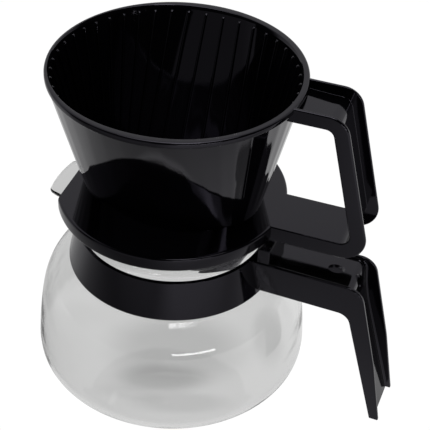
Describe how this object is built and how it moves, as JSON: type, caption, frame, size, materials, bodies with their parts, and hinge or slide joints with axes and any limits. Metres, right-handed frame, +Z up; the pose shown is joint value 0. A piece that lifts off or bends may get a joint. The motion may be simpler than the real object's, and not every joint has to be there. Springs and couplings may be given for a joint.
{
  "type": "drip coffee maker",
  "caption": "Manual drip coffee maker: a plastic filter cone with a loop handle standing on a glass carafe with a collar band and an open-backed handle.",
  "frame": {"origin": "centre of the carafe's flat foot, on the surface it stands on", "axes": "+Z up along the carafe's axis; +X towards the carafe handle, with the spout towards -X; +Y to the left of someone looking along +X"},
  "size_m": [0.2036, 0.1506, 0.1852],
  "materials": {
    "clear_glass": "clear, smooth",
    "black_band": "high gloss",
    "black_handle": "high gloss",
    "black_cone": "high gloss",
    "screw_steel": "plain turned"
  },
  "bodies": {
    "carafe": {"glass_carafe": "clear_glass", "collar_band": "black_band", "carafe_handle": "black_handle", "clamp_screw": "screw_steel", "clamp_nut": "screw_steel"},
    "cone": {"filter_cone": "black_cone"}
  },
  "joints": [
    {"name": "cone_lift", "type": "slide", "parent": "carafe", "child": "cone", "axis": [0, 0, 1], "range_m": [0, 0.16]}
  ]
}
